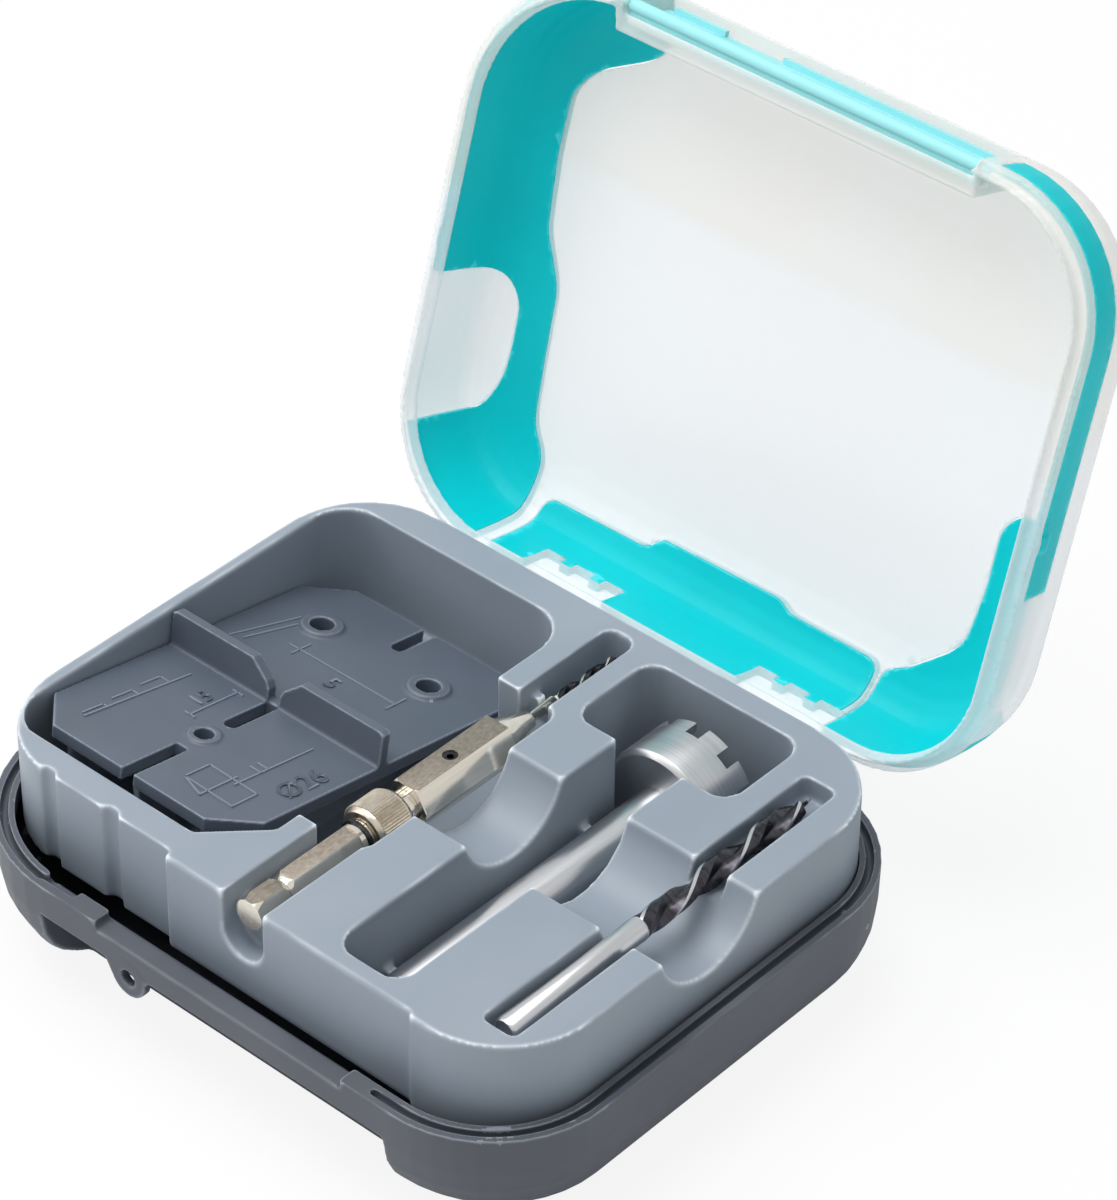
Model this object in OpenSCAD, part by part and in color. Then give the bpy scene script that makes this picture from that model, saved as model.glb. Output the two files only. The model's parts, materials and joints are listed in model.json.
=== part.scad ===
// Drill bit case: a hinged clear lid over a dark base, a grey tray insert, a swing-over
// latch bar, and in the tray a drilling template, a quick-change bit holder with its pilot
// drill, a 26 mm cutter and a 5 mm wood drill. Millimetres, Z up, the table at z = 0.
// The origin lies in the middle of the base; the front is -Y, the hinge +Y.

/* [Case] */
// Outside width of the base, left to right
case_w = 151; // [140:1:200]
// Outside depth of the base, front to back
case_d = 123; // [115:1:160]
// Height of the base from the table to its rim
base_h = 28; // [26:0.5:40]
// Depth of the lid from its rim to its flat top
lid_h = 22.5; // [22:0.5:40]
// Radius of the upright corners of base and lid
corner_r = 27; // [20:0.5:36]
// Radius of the larger front left corner
corner_fl = 34; // [20:0.5:45]
// Thickness of the moulded walls
wall = 2.2; // [1.4:0.1:3]

/* [Rim] */
// Width of the outer wall of the rim
rim_wall = 1.4; // [1:0.1:2]
// Width of the groove in the rim
groove_w = 1.6; // [1.2:0.1:2.4]
// Depth of the groove in the rim
groove_d = 2.5; // [1.5:0.1:4]
// Width of the bright inner lip of the rim
lip_w = 1.2; // [0.8:0.1:2]

/* [Hinge] */
// Angle between the open lid and the base
lid_open_angle = 107; // [90:1:120]
// Distance of the hinge axis behind the base
hinge_out = 3.5; // [3.4:0.1:6]
// Outside diameter of the hinge knuckles
knuckle_d = 6.4; // [5:0.1:8]
// Diameter of the hinge pins
pin_d = 3; // [2:0.1:3.6]
// Width of one comb of knuckles
comb_w = 33; // [24:1:50]
// Distance of the middle of each comb from the middle of the case
comb_x = 29.2; // [20:0.1:50]
// Width of one knuckle of the base
base_knuckle = 4; // [2:0.1:6]
// Gap between neighbouring knuckles
knuckle_gap = 0.4; // [0.3:0.05:0.8]

/* [Latch] */
// Width of the latch bar
latch_w = 84.6; // [60:0.1:100]
// Thickness of the latch bar
latch_t = 1.3; // [1.1:0.1:1.4]
// Diameter of the round edge the latch bar turns on
latch_barrel_d = 2.6; // [2.4:0.1:2.8]
// Diameter of the latch pins
latch_pin_d = 1.2; // [1:0.1:1.4]
// Reach of the hook under the front bar
latch_hook = 1.2; // [1:0.05:2]
// Lean of the folded latch bar towards the lid
latch_lean = 0; // [-4:1:4]

/* [Front bar] */
// Height of the front bar between its underside and the rim
bar_h = 8; // [6:0.5:12]
// Width of the low ledge on the front bar
bar_w = 4.7; // [3.5:0.1:6]
// Drop of the low ledge below the rim
ledge_drop = 2.6; // [2:0.1:4]
// Diameter of the hole in the hanging ear
ear_hole_d = 3.5; // [2.5:0.1:5]
// Radius of the hanging ear
ear_r = 4.4; // [3.5:0.1:6]
// Thickness of the hanging ear
ear_t = 2.2; // [1.6:0.1:3]

/* [Tray] */
// Height of the top of the tray above the rim
tray_rise = 16; // [10:0.5:20]
// Thickness of the walls and floors of the tray
tray_wall = 1.6; // [1:0.1:2.2]
// Radius of the upright corners of the tray
tray_r = 21; // [10:0.5:24]
// Depth of the big pocket for the template
pocket_depth = 23; // [20:0.5:26]
// Radius of the upright corners of the big pocket
pocket_r = 9; // [4:0.5:12]
// Depth of the groove for the bit holder
bit_groove_depth = 13.5; // [9:0.5:16]
// Depth of the trough for the shank of the cutter
shank_depth = 22.5; // [21:0.5:26]
// Room between the head of the cutter and the floor of its pocket
head_room = 0.8; // [0.4:0.1:1.6]
// Radius of the finger scoop
scoop_r = 13.35; // [10:0.05:16]
// Depth of the finger scoop
scoop_depth = 10.3; // [6:0.1:13]

/* [Template] */
// Width of the template
template_w = 56.6; // [40:0.1:58]
// Length of the template
template_l = 84.6; // [60:0.1:88]
// Thickness of the template
template_t = 3; // [2:0.1:4]
// Slant of the template in its pocket
template_tilt = 10.6; // [8:0.1:12]
// Size of the cut corners of the template
template_cut = 8; // [4:0.5:12]
// Height of the two fences on the template
fence_h = 7.6; // [4:0.1:9]
// Thickness of the two fences
fence_t = 2.4; // [1.6:0.1:4]
// Width of the three slots along the middle of the template
slot_w = 3; // [2:0.1:4]
// Diameter of the front guide hole
hole_front_d = 4; // [2:0.1:6]
// Diameter of the two rear guide holes
hole_rear_d = 5; // [3:0.1:7]

/* [Bit holder] */
// Size of the hexagon shank across its flats
hex_af = 6.35; // [6:0.05:8]
// Diameter of the release collar
collar_d = 11.4; // [9:0.1:13]
// Length of the release collar
collar_l = 9; // [6:0.1:12]
// Travel of the release collar
collar_travel = 2.5; // [1:0.1:3]
// Size of the hexagon guide body across its flats
body_af = 9.6; // [8:0.1:11]
// Diameter of the pilot drill
pilot_d = 2.5; // [1:0.1:3]

/* [Cutter and drill] */
// Diameter of the cutter head
cutter_d = 26; // [20:0.5:27]
// Length of the cutter head
cutter_l = 13; // [9:0.5:15]
// Diameter of the shank of the cutter
shank_d = 10; // [8:0.1:12]
// Diameter of the wood drill
drill_d = 5; // [3:0.1:6]
// Length of the wood drill
drill_l = 85.4; // [60:0.1:88]

/* [Hidden] */
$fn = 48;
fit = 0.06;          // running clearance of pins, each side
gap = 0.3;           // clearance of loose pieces
hx = case_w/2;
hy = case_d/2;
lid_wall = wall - 0.4;
rim_w = rim_wall + groove_w + lip_w;
ax_y = hy + hinge_out;
ax_z = base_h;
top_z = base_h + tray_rise;
lid_gap = 0.15;
latch_y = -hy + 2.2;
latch_z = base_h + 2.6;
latch_len = bar_h + latch_z - base_h + gap + 1.2;
latch_face = -hy - gap - latch_y;
latch_back = latch_y - latch_face + latch_t + gap + 0.1;
latch_swing = sqrt(pow(latch_len, 2) + pow(latch_t - latch_face, 2));
latch_x = 0.7;
rec_x0 = latch_x - latch_w/2 - 1.2;
rec_x1 = latch_x + latch_w/2 + 3;
ear_x = -19.1;
tray_x0 = -hx + 4.3;
tray_x1 = hx - 5.2;
tray_y1 = hy - 4.5;
tray_y0 = -hy + 11;
// left-hand group is measured from the left wall, right-hand group from the right wall
lx = -hx + 75.5;
rx = hx - 75.5;
fy = -hy + 61.5;
bit_x = lx + 2.3;
bit_z = top_z - 4.5;
cut_x = rx + 30.1;
cut_z = top_z - 15.2;
head_floor = cut_z - cutter_d/2 - head_room;
drill_x = rx + 59.0;
drill_z = top_z - 2;
tpl_x = lx - 39.8;
tpl_y = fy - 44;
tpl_z = top_z + 0.4;
bit_y0 = fy - 50;
cut_y0 = fy - 40;
head_y0 = fy + 32;
drill_y0 = fy - 43.2;
// base side profile: depth below the rim, inset of the wall
base_prof = [[0, 0], [9, 0.15], [14, 0.7], [18, 2], [21, 3.9], [23.8, 6.6], [26, 9.6], [28, 14]];
// lid side profile: height above the rim, inset of the wall
lid_prof = [[0, 0], [6.4, 0.2], [12.8, 0.8], [17, 1.5], [19.2, 2.3], [20.9, 4.2], [22.4, 7.2], [23.4, 11], [24, 15.5]];

// ---- shared shapes ----
// rectangle with round corners
module rrect(x0, x1, y0, y1, r, fl = 0) {
  q = fl > 0 ? fl : r;
  polygon([[x0 + q, y0], [x1 - r, y0], [x1, y0 + r], [x1, y1 - r], [x1 - r, y1], [x0 + r, y1],
    [x0, y1 - r], [x0, y0 + q]]);
  translate([x0 + q, y0 + q]) circle(q);
  translate([x1 - r, y0 + r]) circle(r);
  translate([x1 - r, y1 - r]) circle(r);
  translate([x0 + r, y1 - r]) circle(r);
}
module rbox(x0, x1, y0, y1, r, z0, z1, fl = 0) {
  translate([0, 0, z0]) linear_extrude(z1 - z0) rrect(x0, x1, y0, y1, r, fl);
}
// plate with the outline of the case, inset by e
module case_plate(e, z0, z1) {
  rbox(-hx + e, hx - e, -hy + e, hy - e, corner_r - e, z0, z1, corner_fl - e);
}
module box(x0, x1, y0, y1, z0, z1) {
  translate([x0, y0, z0]) cube([x1 - x0, y1 - y0, z1 - z0]);
}
// corners of the case at one height, for a hull; f is the extra inset at the front, g the
// share of the inset that the radii of the front corners lose
module slab(z, i, e = 0, f = 1, t = 0.4, ex = 0, g = 0.8) {
  for (sx = [-1, 1]) for (sy = [-1, 1]) {
    r = (sx < 0 && sy < 0 ? corner_fl : corner_r) - (sy < 0 ? g : 0.8)*i - e;
    translate([sx*(hx + ex - i - e - r), sy*(hy - e - r) - sy*i*(sy < 0 ? f : 1), z]) cylinder(h = t, r = r, $fn = 40);
  }
}
// extrusion of a front-to-back section along X; section drawn as [y, z]
module along_x(x0, x1) {
  translate([x0, 0, 0]) rotate([90, 0, 90]) linear_extrude(x1 - x0) children();
}
// cylinder along X
module rod_x(x0, x1, y, z, d) {
  translate([x0, y, z]) rotate([0, 90, 0]) cylinder(h = x1 - x0, d = d);
}
// cylinder along Y
module rod_y(x, y0, y1, z, d, d2 = -1) {
  translate([x, y0, z]) rotate([-90, 0, 0]) cylinder(h = y1 - y0, d1 = d, d2 = d2 < 0 ? d : d2);
}
// hexagon bar along Y
module hex_y(x, y0, y1, z, af) {
  translate([x, y0, z]) rotate([-90, 0, 0]) rotate([0, 0, 0])
    linear_extrude(y1 - y0) circle(d = af/cos(30), $fn = 6);
}
// turns a piece drawn on the closed lid to the open position of the photo
module open_lid() {
  translate([0, ax_y, ax_z]) rotate([-lid_open_angle, 0, 0]) translate([0, -ax_y, -ax_z]) children();
}

// ---- base ----
module base_outer() {
  k = base_h/28;
  hull() for (p = base_prof) slab(base_h - p[0]*k - (p[0] == 0 ? 0.4 : 0), p[1], 0, 1.4);
}
module base_inner() {
  k = base_h/28;
  hull() for (p = base_prof) slab(base_h - p[0]*k + (p[0] == 0 ? 1 : wall), p[1], wall, 1.4);
}
module recess(e) {
  along_x(rec_x0 - e, rec_x1 + e)
    polygon([[-hy - 10, -1], [-hy + 12.5 + e, -1], [-hy + 12.5 + e, 4 + e], [-hy + 4.9 + e, base_h - bar_h + e],
      [-hy - 10, base_h - bar_h + e]]);
}
module base_rim() {
  difference() {
    case_plate(1, base_h - 5, base_h);
    case_plate(rim_w, base_h - 6, base_h + 1);
  }
}
module base_groove() {
  difference() {
    case_plate(rim_wall, base_h - groove_d, base_h + 1);
    case_plate(rim_wall + groove_w, base_h - groove_d - 1, base_h + 2);
    box(rec_x0 - 0.4, rec_x1 - 4.4, -hy - 1, -hy + rim_w + 2, base_h - groove_d - 2, base_h + 3);
  }
}
module base_knuckle_2d() {
  translate([ax_y, ax_z]) circle(d = knuckle_d);
  polygon([[hy - 1, ax_z - knuckle_d/2], [ax_y, ax_z - knuckle_d/2], [ax_y + 1, ax_z], [ax_y, ax_z],
    [hy - 1, ax_z - 0.1]]);
}
module base_shell() color("#565b63") {
  lid_knuckle = (comb_w - 3*base_knuckle - 6*knuckle_gap)/4;
  step = lid_knuckle + base_knuckle + 2*knuckle_gap;
  difference() {
    union() {
      difference() {
        base_outer();
        base_inner();
      }
      base_rim();
      intersection() {
        base_outer();
        union() {
          recess(wall);
          box(rec_x0 - 2, rec_x1 + 2, -hy - 1, -hy + bar_w, base_h - bar_h, base_h - ledge_drop);
          box(rec_x0 - 2, rec_x1 + 2, -hy - 1, -hy + rim_w - 0.5, base_h - bar_h, base_h - 0.4);
        }
      }
      // knuckles of both hinge combs
      for (s = [-1, 1]) for (i = [0:2])
        along_x(s*comb_x - comb_w/2 + lid_knuckle + knuckle_gap + i*step,
          s*comb_x - comb_w/2 + lid_knuckle + knuckle_gap + i*step + base_knuckle) base_knuckle_2d();
      // posts that carry the tray
      for (x = [lx - 58, lx - 18]) for (y = [-hy + 30, hy - 24])
        translate([x, y, wall - 0.6]) cylinder(h = top_z - pocket_depth - tray_wall - wall + 0.6, d = 7);
      translate([cut_x, hy - 21, wall - 0.6])
        cylinder(h = head_floor - tray_wall - wall + 0.6, d = 7);
      translate([cut_x, -hy + 30, wall - 0.6])
        cylinder(h = top_z - shank_depth - tray_wall - wall + 0.6, d = 7);
    }
    recess(0);
    base_groove();
    // low ledge of the front bar
    box(lx - 27.4, rx + 35.6, -hy - 1, -hy + bar_w, base_h - ledge_drop, base_h + 1);
    // notch at the left end of the bar
    box(rec_x0 - 0.4, rec_x0 + 8, -hy + rim_wall + 0.6, -hy + rim_w + 0.1, base_h - groove_d, base_h + 1);
    for (s = [-1, 1])
      rod_x(s*comb_x - comb_w/2 - 1, s*comb_x + comb_w/2 + 1, ax_y, ax_z, pin_d + 2*fit);
  }
  difference() {
    ear();
    translate([ear_x, -hy - 1, base_h - bar_h - 1.7]) rotate([-90, 0, 0])
      cylinder(h = ear_t + 2, d = ear_hole_d);
  }
}
module ear() {
  z = base_h - bar_h - 1.7;
  translate([0, -hy + ear_t, 0]) rotate([90, 0, 0]) linear_extrude(ear_t) {
    translate([ear_x, z]) circle(ear_r);
    polygon([[ear_x - 6.2, base_h - bar_h + 0.5], [ear_x - 3.6, z - 2.5], [ear_x + ear_r - 0.2, z],
      [ear_x + 5.7, base_h - bar_h + 0.5]]);
  }
}

// ---- tray insert ----
module tray_outline(e) {
  rrect(tray_x0 + e, tray_x1 - e, tray_y0 + e, tray_y1 - e, tray_r - e);
  translate([lx - 17.4 + e, -hy + 9.1 + e]) square([rx + 45.2 - lx + 17.4, 30]);
  intersection() {
    rrect(rx, tray_x1 - e, -hy + 8.1 + e, tray_y1 - e, tray_r - e);
    translate([rx + 45.2, -hy]) square([60, case_d]);
  }
}
module big_pocket(e) {
  difference() {
    rbox(lx - 68.6 - e, lx - 7.4 + e, fy - 44 - e, tray_y1 - 8 + e, pocket_r + e,
      top_z - pocket_depth - e, top_z + 1);
    translate([lx - 7.4, fy - 44, top_z - pocket_depth - e - 1]) linear_extrude(60)
      polygon([[-11 + e*0.41, -e - 1], [-11 + e*0.41, -e], [e, 11 - e*0.41], [e + 1, 11 - e*0.41], [e + 1, -e - 1]]);
  }
}
// side opening between the big pocket and the groove of the bit holder
module side_opening(e) {
  rbox(lx - 20 - e, lx + 8.6 + e, fy - 27 - e, fy + 27.5 + e, 3 + e, top_z - pocket_depth - e, top_z + 1);
}
module bit_groove(e) {
  box(lx - 2.4 - e, lx + 7.6 + e, -hy, fy - 26, top_z - bit_groove_depth + 5, top_z + 1);
  rod_y(lx + 2.6, -hy, fy - 26, top_z - bit_groove_depth + 5, 10 + 2*e);
  rbox(lx - 1.4 - e, lx + 5.6 + e, fy + 20, fy + 53.6 + e, 2.5 + e, top_z - 9 - e, top_z + 1);
}
module shank_trough(e) {
  rbox(rx + 22.4 - e, rx + 38.5 + e, fy - 48.5 - e, fy + 40, 5 + e, top_z - shank_depth - e, top_z + 1);
}
module head_pocket(e) {
  rbox(cut_x - cutter_d/2 - 5.8 - e, cut_x + cutter_d/2 + 6.1 + e, fy + 29 - e, fy + 51.5 + e, 4.5 + e,
    head_floor - e, top_z + 1);
}
module scoop(e) {
  rod_x(lx + 7 - e, hx + 5, fy + 0.1, top_z - scoop_depth + scoop_r, 2*scoop_r + 2*e);
}
module drill_groove(e) {
  rbox(drill_x - 3.75 - e, drill_x + 3.75 + e, fy - 45 - e, fy + 45 + e, 1.5 + e, top_z - 4.9 - e, top_z + 1);
}
module pockets(e) {
  big_pocket(e);
  side_opening(e);
  bit_groove(e);
  shank_trough(e);
  head_pocket(e);
  scoop(e);
  drill_groove(e);
}
module tray_insert() color("#93a0ad") {
  z0 = base_h - 6.5;
  difference() {
    union() {
      // outer skin and top
      difference() {
        translate([0, 0, z0]) linear_extrude(top_z - z0) tray_outline(0);
        translate([0, 0, z0 - 1]) linear_extrude(top_z - z0 + 1 - tray_wall) tray_outline(tray_wall);
      }
      // liners of the pockets
      intersection() {
        translate([0, 0, top_z - 40]) linear_extrude(40) tray_outline(0);
        pockets(tray_wall);
      }
    }
    pockets(0);
    // below the rim the skirt keeps inside the lip
    difference() {
      box(-hx - 5, hx + 5, -hy - 5, hy + 5, 0, base_h);
      case_plate(rim_w + 0.1, -1, base_h + 1);
    }
    // shallow flutes in the left part of the front
    for (x = [lx - 33.4, lx - 50.4])
      translate([x, tray_y0 - 1.2, z0 - 1]) cylinder(h = 60, d = 5);
  }
  // slanted ribs under the template
  for (x = [lx - 58, lx - 39.8, lx - 22]) tray_rib(x);
  // saddles for the bit holder
  intersection() {
    difference() {
      box(lx - 3, lx + 8, fy - 47, fy - 45, top_z - bit_groove_depth - 1, bit_z);
      rod_y(bit_x, fy - 48, fy - 44, bit_z, hex_af/cos(30) + 2*gap + 0.2);
    }
    bit_groove(0.2);
  }
  difference() {
    box(lx - 1.6, lx + 5.8, fy + 31, fy + 33, top_z - 9.4, bit_z + 1);
    rod_y(bit_x, fy + 30, fy + 34, bit_z, pilot_d + 2*gap);
    box(bit_x - pilot_d/2 - gap, bit_x + pilot_d/2 + gap, fy + 30, fy + 34, bit_z, bit_z + 5);
  }
  // saddles for the shank of the cutter
  for (y = [fy - 36, fy + 18])
    difference() {
      box(rx + 22.2, rx + 38.7, y, y + 2.4, top_z - shank_depth - 0.4, cut_z + 0.5);
      rod_y(cut_x, y - 1, y + 4, cut_z, shank_d + 2*gap);
      box(cut_x - shank_d/2 - gap, cut_x + shank_d/2 + gap, y - 1, y + 4, cut_z, cut_z + 5);
    }
}
module tray_rib(x) {
  // top of the rib lies just under the slanted template
  t = template_tilt;
  ya = fy - 38;
  yb = fy + 36;
  z = function(y) tpl_z - tan(t)*(y - tpl_y) - (template_t + gap + 0.04)/cos(t);
  along_x(x - 0.8, x + 0.8)
    polygon([[ya, top_z - pocket_depth - 0.4], [yb, top_z - pocket_depth - 0.4], [yb, z(yb)], [ya, z(ya)]]);
}

// ---- hinge pins ----
module hinge_pin(s) {
  rod_x(s*comb_x - comb_w/2 - 0.4, s*comb_x + comb_w/2 + 0.4, ax_y, ax_z, pin_d);
  rod_x(s*(comb_x + comb_w/2 + 0.8) - 0.5, s*(comb_x + comb_w/2 + 0.8) + 0.5, ax_y, ax_z, pin_d + 1.4);
}
module hinge_pin_left() color("#c8ccd0") hinge_pin(-1);
module hinge_pin_right() color("#c8ccd0") hinge_pin(1);

// ---- lid, drawn closed ----
module lid_outer() {
  k = lid_h/24;
  z = base_h + lid_gap;
  hull() for (p = lid_prof) slab(z + p[0]*k - (p[0] == 24 ? 0.4 : 0), p[1], 0, 1.3, 0.4, 0.5, 0.3);
}
module lid_inner() {
  k = lid_h/24;
  z = base_h + lid_gap;
  hull() for (p = lid_prof)
    slab(z + p[0]*k - (p[0] == 0 ? 1 : lid_wall - 0.1), p[1], lid_wall, 1.3, 0.4, 0.5, 0.3);
}
// section of the recess for the folded latch bar, widened by e
module latch_recess(e) {
  z = base_h + lid_gap;
  along_x(latch_x - latch_w/2 - gap - e, latch_x + latch_w/2 + gap + e)
    polygon([[-hy - 10, z - 3 + e*2], [latch_back + e, z - 3 + e*2],
      [latch_back + e, latch_z + latch_swing + 0.4 + e], [-hy - 10, latch_z + latch_swing + 0.4 + e]]);
}
module lid_body() {
  z = base_h + lid_gap;
  difference() {
    union() {
      difference() {
        lid_outer();
        lid_inner();
      }
      intersection() {
        lid_outer();
        latch_recess(1.3);
      }
      // rim flange of the lid
      difference() {
        case_plate(0.4, z + 0.2, z + 1.9);
        case_plate(3.2, z - 1, z + 3);
      }
      // tongue that enters the groove of the base
      difference() {
        case_plate(rim_wall + 0.3, z - 1.9, z + 0.5);
        case_plate(rim_wall + groove_w - 0.3, z - 3, z + 1);
        box(rec_x0 - 1, rec_x1 - 4, -hy - 1, -hy + 8, z - 4, z + 1);
      }
    }
    latch_recess(0);
  }
  // sill that joins the ends of the rim in front of the folded bar
  box(latch_x - latch_w/2 - gap - 1, latch_x + latch_w/2 + gap + 1, latch_y + latch_barrel_d/2 + gap + 0.1,
    latch_back + 1.2, z + 0.2, z + 1.6);
}
module region_left() {
  z = base_h + 2.2;
  box(-hx - 5, -hx + 11.8, fy - 45.5, fy + 7, z, base_h + 60);
  box(-hx - 5, -hx + 24.6, -hy - 5, fy - 45, z, base_h + 61);
  box(-hx + 8, -hx + 16.6, fy + 6, fy + 39, base_h + lid_h - 6, base_h + 61);
}
module region_corner_left() {
  box(-hx - 5, -hx + 27.6, fy + 39, hy + 5, base_h + 3.5, base_h + 60);
}
// toothed plates of clear plastic over the hinge combs, y0 to y1
module hinge_plates(y0, y1) {
  for (s = [-1, 1]) {
    x = s*(comb_x - 1.1);
    box(x - 10.5, x + 10.5, y0, y1, base_h + 3, base_h + 8.9);
    for (i = [-1:1]) box(x + i*7.9 - 2.6, x + i*7.9 + 2.6, y0, y1, base_h + 3, base_h + 11);
  }
}
module region_rear() difference() {
  union() {
    box(-hx + 28.4, hx - 38.6, hy - 9.5, hy + 5, base_h + 3.5, base_h + 60);
    box(-hx + 40, hx - 60, hy - 12.5, hy - 9, base_h + lid_h - 5, base_h + 60);
  }
  hinge_plates(hy - 10, hy + 6);
}
module region_corner_right() difference() {
  union() {
    box(hx - 37.8, hx + 5, fy + 47.5, hy + 5, base_h + 3.5, base_h + 60);
    box(hx - 26.6, hx - 8.5, fy + 6, fy + 48, base_h + lid_h - 7, base_h + 61);
  }
  hinge_plates(hy - 15, hy + 6);
}
module region_right() {
  box(hx - 12, hx + 5, fy - 40.5, fy + 15, base_h + 2.3, base_h + 9.8);
  box(hx - 28, hx + 5.5, -hy - 5, fy - 40, base_h + 2.3, base_h + 9.8);
}
module lid_knuckle_2d() {
  translate([ax_y, ax_z]) circle(d = knuckle_d);
  polygon([[hy - 1.6, ax_z + 0.3], [ax_y, ax_z], [ax_y, ax_z + knuckle_d/2], [hy - 1.6, ax_z + knuckle_d/2]]);
}
module lid_shell() color("#e4ecf0", 0.4) open_lid() {
  lid_knuckle = (comb_w - 3*base_knuckle - 6*knuckle_gap)/4;
  step = lid_knuckle + base_knuckle + 2*knuckle_gap;
  difference() {
    union() {
      difference() {
        lid_body();
        region_left();
        region_corner_left();
        region_rear();
        region_corner_right();
        region_right();
      }
      for (s = [-1, 1]) for (i = [0:3]) {
        along_x(s*comb_x - comb_w/2 + i*step, s*comb_x - comb_w/2 + i*step + lid_knuckle) lid_knuckle_2d();
        // stop that meets the back of the base when the lid is open
        translate([0, ax_y, ax_z]) rotate([lid_open_angle, 0, 0])
          box(s*comb_x - comb_w/2 + i*step, s*comb_x - comb_w/2 + i*step + lid_knuckle,
            -hinge_out + gap, 0, -3.6, -1.6);
      }
      hinge_plates(hy - lid_wall - 0.6, hy - lid_wall + 0.4);
      // lugs of the latch
      for (x = [latch_x - latch_w/2 - gap - 2, latch_x + latch_w/2 + gap])
        along_x(x, x + 2) {
          translate([latch_y, latch_z]) circle(d = latch_barrel_d);
          translate([latch_y, base_h + lid_gap]) square([3, latch_z + latch_barrel_d/2 - base_h - lid_gap]);
        }
    }
    for (s = [-1, 1])
      rod_x(s*comb_x - comb_w/2 - 1, s*comb_x + comb_w/2 + 1, ax_y, ax_z, pin_d + 2*fit);
    // slits in the hinge plates
    for (s = [-1, 1]) for (i = [-1:1])
      box(s*(comb_x - 1.1) + i*7.9 - 1.9, s*(comb_x - 1.1) + i*7.9 + 1.9, hy - 4, hy + 2, base_h + 7.3, base_h + 8.3);
    rod_x(latch_x - latch_w/2 - 4, latch_x + latch_w/2 + 4, latch_y, latch_z, latch_pin_d + 2*fit);
  }
}
// small tab on the side wall of the lid
module side_tab(s) {
  translate([s*(hx - 0.1), fy + 3.5, base_h + 3.5]) cube([2.2, 3, 2.2], center = true);
}
module lid_panel_left() color("#00b8c0") open_lid() {
  intersection() {
    lid_body();
    region_left();
  }
  side_tab(-1);
}
module lid_corner_left() color("#00b8c0") open_lid() intersection() {
  lid_body();
  region_corner_left();
}
module lid_panel_rear() color("#00b8c0") open_lid() intersection() {
  lid_body();
  region_rear();
}
module lid_corner_right() color("#00b8c0") open_lid() intersection() {
  lid_body();
  region_corner_right();
}
module lid_panel_right() color("#00b8c0") open_lid() {
  intersection() {
    lid_body();
    region_right();
  }
  side_tab(1);
}

// ---- latch, drawn folded back on the lid ----
module latch_flap() color("#84dbe0") open_lid() translate([0, latch_y, latch_z])
  rotate([180 - latch_lean, 0, 0]) difference() {
    x0 = latch_x - latch_w/2;
    x1 = latch_x + latch_w/2;
    union() {
      rod_x(x0, x1, 0, 0, latch_barrel_d);
      box(x0, x1, latch_face - latch_t, latch_face, -latch_len, 0);
      box(x0, x1, latch_face - latch_t, 0, -0.9, 0.5);
      // hook in two runs, open at the hanging ear
      box(x0 + 2, ear_x - 7.5, latch_face - 0.4, latch_face + latch_hook, -latch_len, -latch_len + 1.2);
      box(ear_x + 7, x1 - 2, latch_face - 0.4, latch_face + latch_hook, -latch_len, -latch_len + 1.2);
    }
    for (x = [x0 - 1, x1 - 6]) rod_x(x, x + 7, 0, 0, latch_pin_d + 2*fit);
  }
module latch_pin(x0) {
  rod_x(x0, x0 + 7, latch_y, latch_z, latch_pin_d);
}
module latch_pin_left() color("#c8ccd0") open_lid() latch_pin(latch_x - latch_w/2 - gap - 2);
module latch_pin_right() color("#c8ccd0") open_lid() latch_pin(latch_x + latch_w/2 - 5 + gap);

// ---- template, drawn flat with its top at z = 0 and its front end at y = 0 ----
module template_plate() color("#5f6875")
  translate([tpl_x, tpl_y, tpl_z]) rotate([-template_tilt, 0, 0]) translate([0, 4.4, 0]) {
    w = template_w/2;
    l = template_l;
    c = template_cut;
    fy0 = 39.2;
    difference() {
      union() {
        translate([0, 0, -template_t]) linear_extrude(template_t)
          polygon([[-w + c, 0], [w - c, 0], [w, c], [w, l - c], [w - c, l], [-w + c, l], [-w, l - c], [-w, c]]);
        // two fences with a gap for the middle slot
        for (s = [-1, 1]) translate([s*slot_w/2, fy0, 0]) rotate([90, 0, 0])
          translate([0, 0, -fence_t]) linear_extrude(fence_t)
            polygon([[0, -0.5], [s*(w - slot_w/2), -0.5], [s*(w - slot_w/2), fence_h - 0.5],
              [s*(w - slot_w/2) - s*1, fence_h], [s*5, fence_h], [s*0.8, fence_h - 3.5], [0, fence_h - 5]]);
        // raised bosses round the rear holes
        for (s = [-1, 1]) translate([s*14.5, 68.2, -0.5])
          cylinder(h = 1.4, d1 = hole_rear_d + 5.4, d2 = hole_rear_d + 3.4);
        translate([0, 20.4, -0.5]) cylinder(h = 1.1, d1 = hole_front_d + 4, d2 = hole_front_d + 2.4);
      }
      translate([0, 20.4, -template_t - 1]) cylinder(h = 10, d = hole_front_d);
      for (s = [-1, 1]) translate([s*14.5, 68.2, -template_t - 1]) cylinder(h = 10, d = hole_rear_d);
      // slots along the middle
      translate([-slot_w/2, -1, -template_t - 1]) cube([slot_w, 15.6, 10]);
      translate([-slot_w/2, 28, -template_t - 1]) cube([slot_w, 11.5, 10]);
      translate([0, 28, -template_t - 1]) cylinder(h = 10, d = slot_w);
      translate([-slot_w/2, 75.4, -template_t - 1]) cube([slot_w, 20, 10]);
      translate([0, 75.4, -template_t - 1]) cylinder(h = 10, d = slot_w);
    }
  }

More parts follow.
